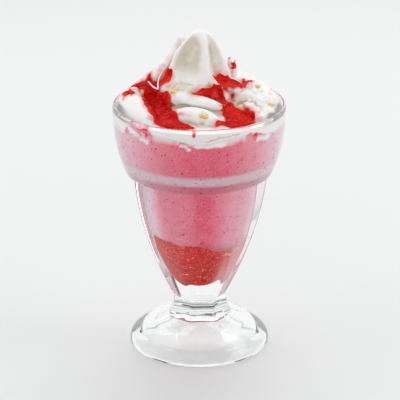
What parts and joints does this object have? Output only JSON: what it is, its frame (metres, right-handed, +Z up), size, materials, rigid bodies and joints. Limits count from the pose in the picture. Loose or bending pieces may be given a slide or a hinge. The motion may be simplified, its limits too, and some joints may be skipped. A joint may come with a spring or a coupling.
{
  "type": "strawberry milkshake in a glass",
  "caption": "Pink strawberry milkshake in a footed clear soda glass with a panelled bowl, red strawberry sauce at the bottom, topped with a peak of whipped cream and poured strawberry sauce.",
  "frame": {"origin": "centre of the foot, on the surface that the glass stands on", "axes": "+Z up along the glass, -Y towards the side that the picture shows, +X to the right of that view"},
  "size_m": [0.0998, 0.1, 0.1916],
  "materials": {
    "clear_glass": "clear pressed glass, polished",
    "red_sauce": "glossy strawberry sauce with small dark seeds",
    "pink_milkshake": "smooth frothy milkshake with fine berry specks",
    "whipped_cream": "soft satin whipped cream"
  },
  "bodies": {
    "root": {"glass": "clear_glass", "strawberry_sauce": "red_sauce", "milkshake": "pink_milkshake", "whipped_cream": "whipped_cream"}
  },
  "joints": []
}
